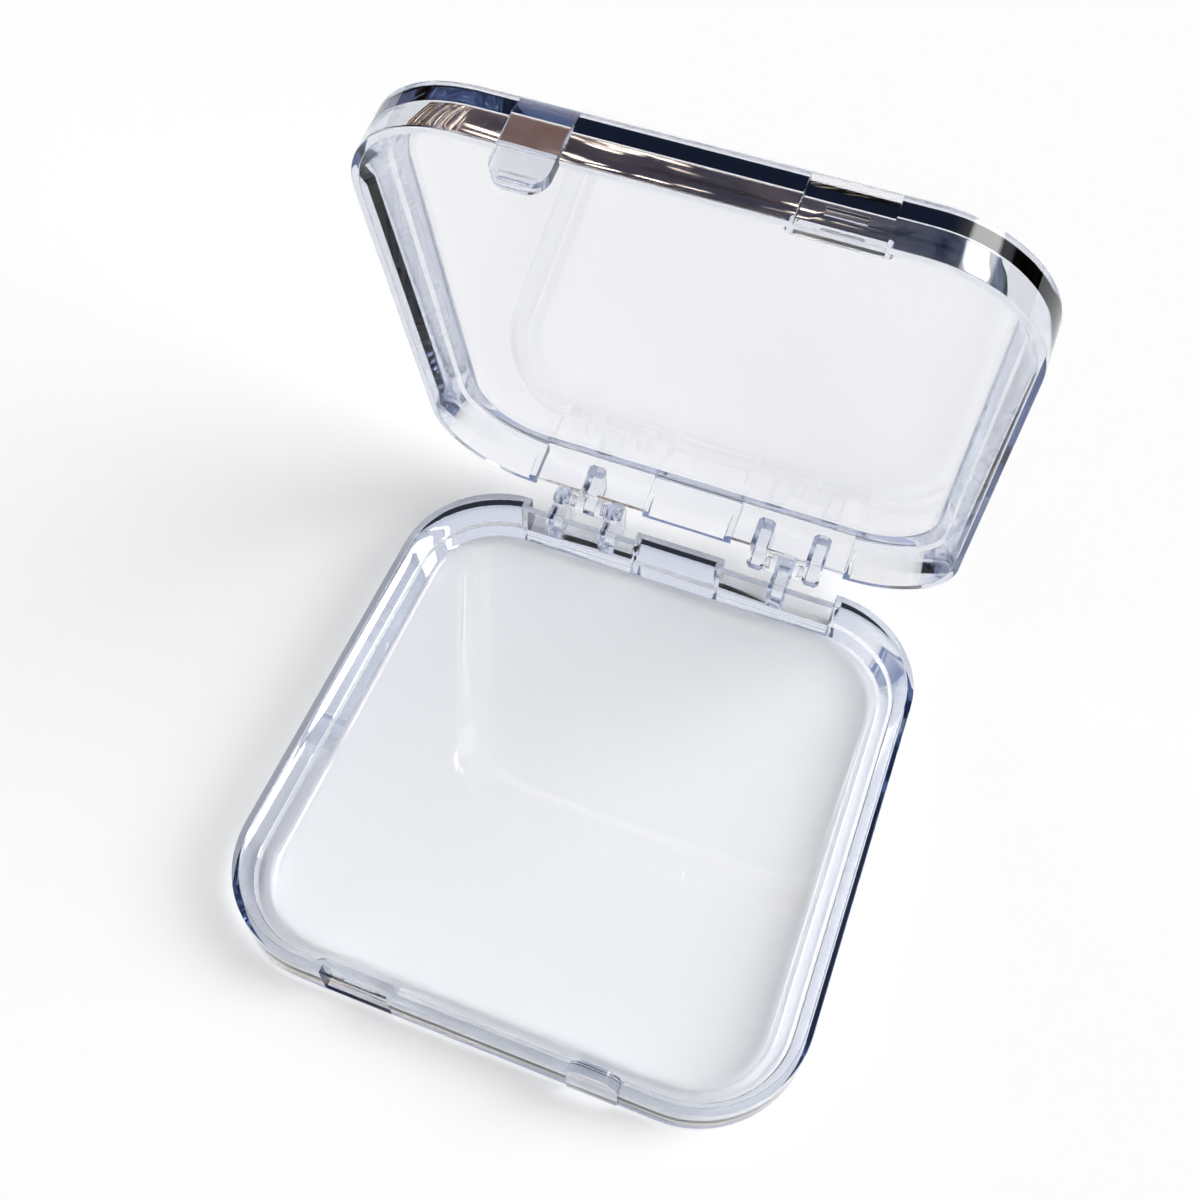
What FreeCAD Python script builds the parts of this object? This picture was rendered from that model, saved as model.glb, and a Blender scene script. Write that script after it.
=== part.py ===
"""Clear hinged square case: two like half shells, shown open."""
import math
import os

import FreeCAD
import Part

# Half shell
width = 95.0            # outside, left to right
depth = 95.0            # outside, front to back
corner_radius = 18.0    # outside, seen from above
half_height = 8.2       # outer floor to rim
wall = 1.15             # at the rim
wall_slope = 30.0       # degrees, inner face of the wall, thicker towards the floor
floor = 1.1
cove_radius = 2.0       # between the inner wall and the floor
foot_bevel = 0.6        # outer edge of the floor
rim_gap = 0.16          # between the two rims when the case is shut

# Hinge
hinge_spread = 19.0     # from the middle to each of the two hinges
hinge_setoff = 2.3      # hinge axis behind the back wall
pocket_width = 21.0
pocket_depth = 1.9
pocket_wall = 1.3
pocket_draft = 1.1      # how much thicker the pocket wall is at its foot
pocket_round = 1.2      # upright edges of the pocket wall, inside the case
lug_width = 3.2
lug_spread = 5.2        # from the hinge's middle to each lug's middle
lug_radius = 2.1
lug_foot = 2.0          # height of the lugs' and the stalk's lower end
lug_bevel = 0.6         # edges of the lugs and the stalk
barrel_radius = 1.8
barrel_clearance = 0.25  # between each end of the barrel and its lug
stalk_width = 3.3
pivot_radius = 0.8
pivot_engagement = 0.7  # length of a pivot that is inside the barrel
pivot_clearance = 0.05  # radial running clearance
socket_clearance = 0.2  # beyond the pivot's tip
pivot_chamfer = 0.2

# Latch
latch_spread = 19.5     # from the middle to the tongue and to the recess
tongue_width = 8.0
tongue_reach = 5.4      # beyond the rim
tongue_thickness = 1.9
tongue_stand = 0.9      # how far it stands out from the wall
tongue_ramp = 3.3       # height where it is fully out
tongue_round = 3.0      # tip corners
recess_side_clearance = 1.6
recess_lip = 0.6        # left below the recess
recess_gap = 0.2        # between the tongue's inner face and the recess
bead_radius = 0.6
bead_height = 0.4       # beyond the tongue's inner face
bead_inset = 1.6        # from the tongue's tip
bead_length = 5.0
bead_clearance = 0.12

# Pose
opening_angle = 78.0    # of the lid, from shut

axis_y = depth / 2 + hinge_setoff
axis_z = half_height + rim_gap / 2
front_y = -depth / 2
pocket_y = depth / 2 - pocket_depth
merge = 0.4             # how far a feature is sunk into the wall that carries it

X_AXIS = FreeCAD.Vector(1, 0, 0)
Y_AXIS = FreeCAD.Vector(0, 1, 0)
Z_AXIS = FreeCAD.Vector(0, 0, 1)


def vec(x, y, z):
    return FreeCAD.Vector(x, y, z)


def block(x0, x1, y0, y1, z0, z1):
    return Part.makeBox(x1 - x0, y1 - y0, z1 - z0, vec(x0, y0, z0))


def prism_x(points, x0, x1):
    """Solid with the outline points (y, z), from x0 to x1."""
    outline = Part.makePolygon([vec(x0, y, z) for y, z in points + points[:1]])
    return Part.Face(outline).extrude(vec(x1 - x0, 0, 0))


def rod_x(y, z, radius, x0, x1):
    return Part.makeCylinder(radius, x1 - x0, vec(x0, y, z), X_AXIS)


def upright_edges(shape, near=None):
    """Straight edges along Z, or only those that the test near accepts."""
    found = []
    for edge in shape.Edges:
        start, end = edge.Vertexes[0].Point, edge.Vertexes[-1].Point
        along = abs(end.z - start.z)
        if along > 0.1 and abs((end - start).Length - along) < 1e-6:
            if near is None or near(start):
                found.append(edge)
    return found


def edges_at_height(shape, z):
    low, high = z - 1e-4, z + 1e-4
    return [e for e in shape.Edges if e.BoundBox.ZMin > low and e.BoundBox.ZMax < high]


def rounded_block(inset, z0, z1):
    """Block with the case's outline, drawn in by inset on every side."""
    body = block(-width / 2 + inset, width / 2 - inset,
                 -depth / 2 + inset, depth / 2 - inset, z0, z1)
    return body.makeFillet(corner_radius - inset, upright_edges(body))


def outer_body():
    body = rounded_block(0, 0, half_height)
    return body.makeChamfer(foot_bevel, edges_at_height(body, 0))


def outline(inset, z):
    """The case's outline at height z, drawn in by inset on every side."""
    body = rounded_block(inset, z, z + wall)
    return [f for f in body.Faces if f.BoundBox.ZMax < z + 1e-4][0].OuterWire


def cavity():
    """Space inside the half shell, with sloping sides and a coved floor edge."""
    run = (half_height - floor) * math.tan(math.radians(wall_slope))
    space = Part.makeLoft([outline(wall + run, floor), outline(wall, half_height)], True, True)
    return space.makeFillet(cove_radius, edges_at_height(space, floor))


def swelling(middle, half, inner_top, inner_foot, outer_y):
    """Wall that swells into the case behind a pocket or a recess."""
    body = prism_x([(outer_y, floor / 2), (inner_foot, floor / 2),
                    (inner_top, half_height), (outer_y, half_height)],
                   middle - half, middle + half)
    inner = [e for e in body.Edges
             if abs(e.Vertexes[0].Point.z - e.Vertexes[-1].Point.z) > 1
             and abs(e.Vertexes[0].Point.y - outer_y) > 1e-3
             and abs(e.Vertexes[-1].Point.y - outer_y) > 1e-3]
    return body.makeFillet(pocket_round, inner)


def hinge_swelling(middle):
    inner_top = pocket_y - pocket_wall
    return swelling(middle, pocket_width / 2 + pocket_wall,
                    inner_top, inner_top - pocket_draft, depth / 2 - merge)


def hinge_pocket(middle):
    return block(middle - pocket_width / 2, middle + pocket_width / 2,
                 pocket_y, axis_y, -1, half_height + 1)


def knuckle_outline(end_radius):
    """Side view of a lug or stalk: an upright bar with a round end on the axis."""
    back = axis_y + end_radius
    face = pocket_y - merge
    bar = block(0, 1, axis_y - end_radius, back, lug_foot + end_radius, axis_z)
    web = block(0, 1, face, axis_y, lug_foot, half_height - merge)
    toe = rod_x(axis_y, lug_foot + end_radius, end_radius, 0, 1)
    eye = rod_x(axis_y, axis_z, end_radius, 0, 1)
    side = bar.fuse([web, toe, eye]).removeSplitter()
    return [f for f in side.Faces if f.BoundBox.XMax < 1e-6][0]


def knuckle(middle, across, end_radius):
    body = knuckle_outline(end_radius).extrude(vec(across, 0, 0))
    body.translate(vec(middle - across / 2, 0, 0))
    limit = pocket_y + 1e-3
    rims = [e for e in body.Edges
            if e.BoundBox.XLength < 1e-6 and e.BoundBox.YMin > limit]
    return body.makeChamfer(lug_bevel, rims)


def pivot(face_x, direction):
    """Short pin that stands on a lug's inner face."""
    length = barrel_clearance + pivot_engagement
    pin = Part.makeCylinder(pivot_radius, length + merge,
                            vec(face_x - direction * merge, axis_y, axis_z),
                            vec(direction, 0, 0))
    tip_x = face_x + direction * length
    tip = [e for e in pin.Edges
           if abs(e.BoundBox.Center.x - tip_x) < 1e-3 and e.BoundBox.XLength < 1e-3]
    return pin.makeChamfer(pivot_chamfer, tip)


def lug_pair(middle):
    parts = []
    for side in (-1, 1):
        parts.append(knuckle(middle + side * lug_spread, lug_width, lug_radius))
        face_x = middle + side * (lug_spread - lug_width / 2)
        parts.append(pivot(face_x, -side))
    return parts


def barrel_half_length():
    return lug_spread - lug_width / 2 - barrel_clearance


def barrel_knuckle(middle):
    half = barrel_half_length()
    barrel = rod_x(axis_y, axis_z, barrel_radius, middle - half, middle + half)
    return knuckle(middle, stalk_width, barrel_radius).fuse(barrel)


def barrel_sockets(middle):
    """Blind holes in the barrel's ends, for the pivots."""
    half = barrel_half_length()
    deep = pivot_engagement + socket_clearance
    radius = pivot_radius + pivot_clearance
    return [rod_x(axis_y, axis_z, radius, middle - half - merge, middle - half + deep),
            rod_x(axis_y, axis_z, radius, middle + half - deep, middle + half + merge)]


def tongue_inner_y():
    return front_y - tongue_stand + tongue_thickness


def tongue():
    tip_z = half_height + tongue_reach
    half = tongue_width / 2
    body = prism_x([(front_y, foot_bevel),
                    (front_y - tongue_stand, tongue_ramp),
                    (front_y - tongue_stand, tip_z),
                    (tongue_inner_y(), tip_z),
                    (tongue_inner_y(), half_height),
                    (front_y + wall, half_height - merge),
                    (front_y + wall, foot_bevel)],
                   latch_spread - half, latch_spread + half)
    corners = [e for e in body.Edges
               if e.BoundBox.XLength < 1e-6 and e.BoundBox.ZMin > tip_z - 1e-3]
    body = body.makeFillet(tongue_round, corners)
    return body.fuse(bead(0))


def bead_height_z():
    return half_height + tongue_reach - bead_inset


def bead(clearance):
    """Ridge across the tongue's inner face, or with a clearance the groove for it."""
    z = bead_height_z()
    half = bead_length / 2 + clearance
    return rod_x(tongue_inner_y() + bead_height - bead_radius, z, bead_radius + clearance,
                 latch_spread - half, latch_spread + half)


def recess_floor_y():
    return tongue_inner_y() + recess_gap


def latch_recess():
    half = tongue_width / 2 + recess_side_clearance
    return block(-latch_spread - half, -latch_spread + half,
                 front_y - 1, recess_floor_y(), recess_lip, half_height + 1)


def latch_groove():
    """The mating tongue's ridge, turned over into this half's own frame."""
    groove = bead(bead_clearance)
    groove.rotate(vec(0, 0, axis_z), Y_AXIS, 180)
    return groove


def latch_swelling():
    inner = recess_floor_y() + wall
    half = tongue_width / 2 + recess_side_clearance + wall
    body = block(-latch_spread - half, -latch_spread + half,
                 front_y + merge, inner, floor / 2, half_height)
    edges = upright_edges(body, lambda p: abs(p.y - inner) < 1e-3)
    return body.makeFillet(pocket_round, edges)


def half_shell():
    """One moulding: tray, one pair of lugs, one barrel, a tongue and a recess."""
    shell = outer_body().cut(cavity())
    walls = [hinge_swelling(-hinge_spread), hinge_swelling(hinge_spread), latch_swelling()]
    shell = shell.fuse([w.common(outer_body()) for w in walls])
    shell = shell.cut([hinge_pocket(-hinge_spread), hinge_pocket(hinge_spread),
                       latch_recess(), latch_groove()])
    shell = shell.fuse(lug_pair(-hinge_spread) + [barrel_knuckle(hinge_spread), tongue()])
    shell = shell.cut(barrel_sockets(hinge_spread))
    return shell.removeSplitter()


def lid(half):
    """The same moulding turned over onto the base and then opened."""
    shape = half.copy()
    shape.rotate(vec(0, 0, axis_z), Y_AXIS, 180)
    shape.rotate(vec(0, axis_y, axis_z), X_AXIS, -opening_angle)
    return shape


def main():
    os.makedirs("parts", exist_ok=True)
    base = half_shell()
    shapes = {"base_shell": base, "lid_shell": lid(base)}
    for name, shape in shapes.items():
        shape.exportStep("parts/%s.step" % name)
        print(name, "solids", len(shape.Solids), "valid", shape.isValid(),
              "volume", round(shape.Volume, 1), "faces", len(shape.Faces))


main()
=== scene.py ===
import math

import bmesh
import bpy
from mathutils import Matrix, Vector


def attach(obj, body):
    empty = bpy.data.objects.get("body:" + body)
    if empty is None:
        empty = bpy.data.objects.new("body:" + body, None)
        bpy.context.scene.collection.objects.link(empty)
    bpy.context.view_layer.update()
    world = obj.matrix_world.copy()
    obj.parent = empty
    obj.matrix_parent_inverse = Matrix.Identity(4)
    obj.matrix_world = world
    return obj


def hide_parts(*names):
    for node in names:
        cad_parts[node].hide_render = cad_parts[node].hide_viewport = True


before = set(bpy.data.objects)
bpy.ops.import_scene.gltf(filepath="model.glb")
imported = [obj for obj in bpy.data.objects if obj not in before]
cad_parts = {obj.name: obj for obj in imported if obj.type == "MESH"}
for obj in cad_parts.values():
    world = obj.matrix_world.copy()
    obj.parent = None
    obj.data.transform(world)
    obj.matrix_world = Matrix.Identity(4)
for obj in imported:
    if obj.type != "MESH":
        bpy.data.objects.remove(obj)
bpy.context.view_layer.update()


# Nodes and socket arithmetic

class Value:  # a socket that adds, subtracts, multiplies and divides as a number does
    def __init__(self, tree, socket):
        self.tree = tree
        self.socket = socket

    def calc(self, operation, first, second):
        return make(self.tree, "ShaderNodeMath", {"operation": operation}, {0: first, 1: second})

    def __add__(self, other):
        return self.calc("ADD", self, other)

    def __radd__(self, other):
        return self.calc("ADD", other, self)

    def __sub__(self, other):
        return self.calc("SUBTRACT", self, other)

    def __rsub__(self, other):
        return self.calc("SUBTRACT", other, self)

    def __mul__(self, other):
        return self.calc("MULTIPLY", self, other)

    def __rmul__(self, other):
        return self.calc("MULTIPLY", other, self)

    def __truediv__(self, other):
        return self.calc("DIVIDE", self, other)

    def __gt__(self, other):
        return self.calc("GREATER_THAN", self, other)

    def most(self, other):
        return self.calc("MAXIMUM", self, other)


def make(tree, kind, settings=None, sockets=None, output=0):  # any node: settings first, then sockets
    node = tree.nodes.new(kind)
    for name, setting in (settings or {}).items():
        if name == "stops":
            ramp = node.color_ramp
            while len(ramp.elements) < len(setting):
                ramp.elements.new(0.5)
            for element, (place, colour) in zip(ramp.elements, setting):
                element.position = place
                element.color = (*colour, 1)
        else:
            setattr(node, name, setting)
    for name, value in (sockets or {}).items():
        if isinstance(value, Value):
            tree.links.new(value.socket, node.inputs[name])
        else:
            node.inputs[name].default_value = value
    return Value(tree, node.outputs[output] if node.outputs else None)


def smooth(value, low, high):  # 0 below low, 1 above high, soft between
    return make(value.tree, "ShaderNodeMapRange",
                {"interpolation_type": "SMOOTHSTEP", "clamp": True},
                {"Value": value, "From Min": low, "From Max": high})


def between(value, low, high, soft):  # 1 between low and high, with soft edges inside them
    return smooth(value, low, low + soft) * smooth(high - value, 0.0, soft)


def blend(factor, first, second):  # first where factor is 0, second where it is 1
    return make(factor.tree, "ShaderNodeMix", {"data_type": "RGBA"},
                {"Factor": factor, 6: first, 7: second}, output=2)


def disc(direction, aim, outer, inner):  # round patch around aim, outer and inner are cosines
    near = make(direction.tree, "ShaderNodeVectorMath", {"operation": "DOT_PRODUCT"},
                {0: direction, 1: Vector(aim).normalized()}, output="Value")
    return smooth(near, outer, inner)


def newTree(owner):  # an empty node tree
    owner.use_nodes = True
    owner.node_tree.nodes.clear()
    return owner.node_tree


# Camera

cameraView = {
    "place": (0.03656, -0.09485, 0.21274),
    "target": (-0.01149, 0.03590, 0.0),
    "roll": 1.037,       # degrees, turns the picture clockwise
    "lens": 41.09,
    "sensor": 36.0,      # mm wide
    "nearest": 0.005,
    "farthest": 50.0,
}


def makeCamera(view):
    data = bpy.data.cameras.new("camera")
    data.sensor_fit = "HORIZONTAL"
    data.sensor_width = view["sensor"]
    data.lens = view["lens"]
    data.clip_start = view["nearest"]
    data.clip_end = view["farthest"]
    camera = bpy.data.objects.new("camera", data)
    bpy.context.scene.collection.objects.link(camera)
    place = Vector(view["place"])
    look = (Vector(view["target"]) - place).to_track_quat("-Z", "Y").to_matrix()
    turn = Matrix.Rotation(math.radians(view["roll"]), 3, "Z")
    camera.matrix_world = Matrix.Translation(place) @ (look @ turn).to_4x4()
    bpy.context.scene.camera = camera
    print("camera placed")


makeCamera(cameraView)


# Clear plastic

plastic = {
    "baseTint": (1.0, 1.0, 1.0),         # of the surface
    # painted shade: the lid gets a darker copy of the same plastic, so the table seen through it
    # renders darker
    "lidPaintedShade": (0.905, 0.905, 0.92),
    "ior": 1.58,
    "roughness": 0.005,
    "haze": 0.012,                       # more roughness, in places
    "hazeScale": 60.0,
    "hazeDetail": 4.0,
    "ripple": 0.02,                      # strength of the unevenness that reflections show
    "rippleDepth": 0.001,
    "rippleScale": 45.0,
    "rippleDetail": 1.0,
    "depthColour": (0.05, 0.20, 0.50),   # what thick places let through
    "depth": 20.0,                       # per metre
}


# the colour given to the surface is plain for the base and painted shade for the lid
def makePlastic(name, values, colourAndPaintedShade):
    material = bpy.data.materials.new(name)
    tree = newTree(material)
    place = make(tree, "ShaderNodeTexCoord", output="Object")
    haze = make(tree, "ShaderNodeTexNoise", {},
                {"Vector": place, "Scale": values["hazeScale"], "Detail": values["hazeDetail"]})
    ripple = make(tree, "ShaderNodeTexNoise", {},
                  {"Vector": place, "Scale": values["rippleScale"], "Detail": values["rippleDetail"]})
    bump = make(tree, "ShaderNodeBump", {}, {
        "Height": ripple,
        "Strength": values["ripple"],
        "Distance": values["rippleDepth"],
    })
    body = make(tree, "ShaderNodeBsdfPrincipled", {}, {
        "Base Color": (*colourAndPaintedShade, 1),
        "Roughness": haze * values["haze"] + values["roughness"],
        "IOR": values["ior"],
        "Transmission Weight": 1.0,
        "Normal": bump,
    })
    depth = make(tree, "ShaderNodeVolumeAbsorption", {},
                 {"Color": (*values["depthColour"], 1), "Density": values["depth"]})
    make(tree, "ShaderNodeOutputMaterial", {}, {"Surface": body, "Volume": depth})
    print(name, "made")
    return material


# Base and lid

shell = {
    "merge": 0.000002,            # points nearer than this become one
    "flat": math.radians(0.2),    # faces nearer to one plane than this become one
    "sharp": math.radians(30),    # edges that keep a crease in the shading
    "corner": math.radians(50),   # outward edges that are rounded off
    "shortest": 0.0003,           # of those edges
    "round": 0.00010,
    "steps": 2,
}


def makeShell(name, node, body, material):
    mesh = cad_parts[node].data.copy()
    mesh.name = name
    bm = bmesh.new()
    bm.from_mesh(mesh)
    bmesh.ops.remove_doubles(bm, verts=bm.verts, dist=shell["merge"])
    bmesh.ops.dissolve_limit(bm, angle_limit=shell["flat"], verts=bm.verts, edges=bm.edges)
    volume = bm.calc_volume()
    corners = [e for e in bm.edges if e.is_manifold and e.calc_length() > shell["shortest"]
               and e.calc_face_angle_signed(0) > shell["corner"]]
    bmesh.ops.bevel(bm, geom=corners, affect="EDGES", offset=shell["round"], offset_type="OFFSET",
                    segments=shell["steps"], profile=0.5, material=-1, clamp_overlap=False)
    print(name, "rounded edges", len(corners), "volume share", round(bm.calc_volume() / volume, 4))
    for face in bm.faces:
        face.smooth = True
    for edge in bm.edges:
        edge.smooth = not (edge.is_manifold and edge.calc_face_angle(0) > shell["sharp"])
    loose = [e for e in bm.edges if not e.is_manifold]
    print(name, "faces", len(bm.faces), "open edges", len(loose))
    bm.to_mesh(mesh)
    bm.free()
    mesh.materials.clear()
    mesh.materials.append(material)
    piece = bpy.data.objects.new(name, mesh)
    bpy.context.scene.collection.objects.link(piece)
    weigh = piece.modifiers.new("even shading", "WEIGHTED_NORMAL")
    weigh.keep_sharp = True
    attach(piece, body)
    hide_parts(node)


basePlastic = makePlastic("clear plastic", plastic, plastic["baseTint"])
makeShell("base_moulding", "base_shell", "base", basePlastic)
# the lid's plastic is the same as the base's, painted darker: painted shade
lidPlastic = makePlastic("clear plastic of the lid with painted shade", plastic, plastic["lidPaintedShade"])
makeShell("lid_moulding", "lid_shell", "lid", lidPlastic)


# Table

tableTop = {
    "colour": (0.975, 0.975, 0.975),
    "reach": 4.0,         # from the middle to each side
    "under": 0.00005,     # how far it lies under the case
}


def makeTable(values):
    mesh = bpy.data.meshes.new("table")
    bm = bmesh.new()
    bmesh.ops.create_grid(bm, x_segments=1, y_segments=1, size=values["reach"])
    bmesh.ops.translate(bm, verts=bm.verts, vec=(0, 0, -values["under"]))
    bm.to_mesh(mesh)
    bm.free()
    material = bpy.data.materials.new("table white")
    tree = newTree(material)
    body = make(tree, "ShaderNodeBsdfDiffuse", {}, {"Color": (*values["colour"], 1)})
    make(tree, "ShaderNodeOutputMaterial", {}, {"Surface": body})
    mesh.materials.append(material)
    table = bpy.data.objects.new("table", mesh)
    bpy.context.scene.collection.objects.link(table)
    print("table made")


makeTable(tableTop)


# Studio: heights are sines, and angles are degrees to the right of straight back

studio = {
    "dome": 0.47,                        # even light on the matt surfaces
    "key": (0.76, 0.20, 0.62),           # where most of their light comes from
    "keyOuter": 0.85,                    # cosines of its soft edge
    "keyInner": 0.975,
    "keyLevel": 5.2,
    "lamp": (0.527, 0.412, 0.743),       # the soft box that the plastic mirrors
    "lampOuter": 0.974,
    "lampInner": 0.988,
    "lampLevel": 8.0,
    "wallStops": [                       # pale walls, from the horizon to wallTop
        (0.0, (0.50, 0.56, 0.78)),
        (0.5, (0.62, 0.64, 0.72)),
        (1.0, (0.80, 0.82, 0.88)),
    ],
    "wallTop": 0.75,
    "brightWall": (1.0, 1.0, 1.0),       # high up on the left
    "brightSide": (0.15, 0.75),          # how far left and how high it starts and is full
    "brightHeight": (0.3, 0.7),
    "ceiling": (0.13, 0.20, 0.44),       # dim bluish patch above, behind the lid
    "ceilingPlace": (-0.30, 0.42, 0.86),
    "ceilingOuter": 0.78,
    "ceilingInner": 0.92,
    "roomLow": -0.30,                    # the dark room behind the case
    "roomLowEdge": 0.12,
    "roomHigh": 0.64,
    "roomHighEdge": 0.06,
    "roomLeft": -95.0,
    "roomRight": 68.0,
    "step": 0.16,                        # how much lower it is on the right
    "stepAngles": (14.0, 22.0),
    "roomStops": [                       # angle and colour
        (-95, (0.50, 0.50, 0.52)),
        (-86, (0.045, 0.035, 0.027)),
        (-50, (0.100, 0.062, 0.045)),
        (-31, (0.120, 0.066, 0.042)),
        (-15, (0.150, 0.080, 0.048)),
        (-8, (0.060, 0.045, 0.040)),
        (-3, (0.035, 0.036, 0.045)),
        (6, (0.020, 0.025, 0.045)),
        (14, (0.030, 0.050, 0.100)),
        (29, (0.10, 0.14, 0.20)),
        (34, (0.012, 0.014, 0.020)),
        (58, (0.030, 0.022, 0.016)),
        (68, (0.55, 0.55, 0.58)),
    ],
    "rows": (3.0, 3.0, 14.0),            # darker and lighter rows in it
    "rowScale": 2.2,
    "rowDetail": 3.0,
    "rowEdges": (0.38, 0.62),
    "rowDark": 0.25,
    "rowLight": 1.3,                     # beyond rowDark
    "window": (0.88, 0.95, 1.0),
    "windowLeft": 15.0,
    "windowRight": 27.0,
    "windowSideEdge": 1.5,
    "windowLow": 0.15,
    "windowHigh": 0.46,
    "windowEdge": 0.03,
    "sparkle": (9.0, 7.4, 6.0),          # small warm lights in the room
    "sparkleLeft": -54.0,
    "sparkleRight": -4.0,
    "sparkleSideEdge": 6.0,
    "sparkleShort": 0.25,                # cells per degree, fewer make longer lights
    "sparkleThin": 800.0,                # cells in height, more make thinner lights
    "sparkleSize": 0.26,                 # of a cell
    "sparkleSoft": 0.10,
    "groupScale": 0.16,                  # the lights stand in loose groups
    "groupDetail": 1.0,
    "groupEdges": (0.53, 0.58),
    "bounces": 32,                       # for many clear walls one behind another
    "mattBounces": 2,
}


def makeWorld(values):
    world = bpy.data.worlds.new("studio")
    bpy.context.scene.world = world
    tree = newTree(world)
    direction = make(tree, "ShaderNodeTexCoord", output="Generated")
    right, back, up = (make(tree, "ShaderNodeSeparateXYZ", {}, {"Vector": direction}, output=axis)
                       for axis in "XYZ")
    angle = right.calc("ARCTAN2", right, back) * math.degrees(1)

    # what kind of ray meets the world
    camera, glossy, through, mattDepth, mirrorDepth = (
        make(tree, "ShaderNodeLightPath", output=name)
        for name in ("Is Camera Ray", "Is Glossy Ray", "Is Transmission Ray",
                     "Diffuse Depth", "Glossy Depth"))
    clear = glossy.most(through) * (1 - (mattDepth > 0.5))
    mirrored = clear * (mirrorDepth > 0.5)

    # pale walls, a little bluer near the horizon
    pale = make(tree, "ShaderNodeValToRGB", {"stops": values["wallStops"]},
                {"Fac": smooth(up, 0.0, values["wallTop"])})
    bright = smooth(-1 * right, *values["brightSide"]) * smooth(up, *values["brightHeight"])
    walls = blend(bright, pale, (*values["brightWall"], 1))

    # dim ceiling patch that the floor of the tray and the top of the lid mirror
    patch = disc(direction, values["ceilingPlace"], values["ceilingOuter"], values["ceilingInner"])
    upper = blend(patch, walls, (*values["ceiling"], 1))

    # dark room, with colours that change from left to right
    span = values["roomRight"] - values["roomLeft"]
    share = (angle - values["roomLeft"]) / span
    stops = [((stop - values["roomLeft"]) / span, colour) for stop, colour in values["roomStops"]]
    even = make(tree, "ShaderNodeValToRGB", {"stops": stops}, {"Fac": share})
    spread = make(tree, "ShaderNodeMapping", {}, {"Vector": direction, "Scale": values["rows"]})
    rows = make(tree, "ShaderNodeTexNoise", {},
                {"Vector": spread, "Scale": values["rowScale"], "Detail": values["rowDetail"]})
    dim = smooth(rows, *values["rowEdges"]) * values["rowLight"] + values["rowDark"]
    room = make(tree, "ShaderNodeVectorMath", {"operation": "SCALE"}, {0: even, "Scale": dim})
    top = values["roomHigh"] - smooth(angle, *values["stepAngles"]) * values["step"]
    inside = (smooth(up, values["roomLow"], values["roomLow"] + values["roomLowEdge"])
              * smooth(top - up, 0.0, values["roomHighEdge"])
              * (share > 0.0) * (1 - (share > 1.0)))

    # small lights in it, long and thin
    cells = make(tree, "ShaderNodeCombineXYZ", {},
                 {"X": angle * values["sparkleShort"], "Y": up * values["sparkleThin"]})
    spots = make(tree, "ShaderNodeTexVoronoi", {"voronoi_dimensions": "2D"},
                 {"Vector": cells, "Scale": 1.0})
    groups = make(tree, "ShaderNodeTexNoise", {"noise_dimensions": "2D"},
                  {"Vector": cells, "Scale": values["groupScale"], "Detail": values["groupDetail"]})
    sparkles = (smooth(values["sparkleSize"] - spots, 0.0, values["sparkleSoft"])
                * between(angle, values["sparkleLeft"], values["sparkleRight"],
                          values["sparkleSideEdge"])
                * smooth(groups, *values["groupEdges"]))

    # window at its right
    pane = (between(angle, values["windowLeft"], values["windowRight"], values["windowSideEdge"])
            * between(up, values["windowLow"], values["windowHigh"], values["windowEdge"]))

    lights = blend(sparkles, room, (*values["sparkle"], 1))
    lightsAndWindow = blend(pane, lights, (*values["window"], 1))
    surroundings = blend(inside, upper, lightsAndWindow)
    softBox = disc(direction, values["lamp"], values["lampOuter"], values["lampInner"])
    around = blend(softBox, surroundings, (*[values["lampLevel"]] * 3, 1))

    # the camera and clear views see plain white, and matt surfaces the dome and the key light
    key = disc(direction, values["key"], values["keyOuter"], values["keyInner"])
    matt = key * values["keyLevel"] + values["dome"]
    view = camera.most(clear)
    level = view + (1 - view) * matt
    grey = make(tree, "ShaderNodeCombineXYZ", {}, {"X": level, "Y": level, "Z": level})
    shade = make(tree, "ShaderNodeBackground", {},
                 {"Color": blend(mirrored, grey, around), "Strength": 1.0})
    make(tree, "ShaderNodeOutputWorld", {}, {"Surface": shade})
    world.cycles.sampling_method = "NONE"   # only rays that leave the scene meet the world
    print("studio made")


def setScene(values):
    scene = bpy.context.scene
    scene.view_settings.view_transform = "Standard"
    scene.cycles.max_bounces = values["bounces"]
    scene.cycles.transmission_bounces = values["bounces"]
    scene.cycles.glossy_bounces = values["bounces"]
    scene.cycles.diffuse_bounces = values["mattBounces"]
    scene.cycles.blur_glossy = 0.0   # clear plastic stays sharp also for the table's light
    print("scene set")


makeWorld(studio)
setScene(studio)
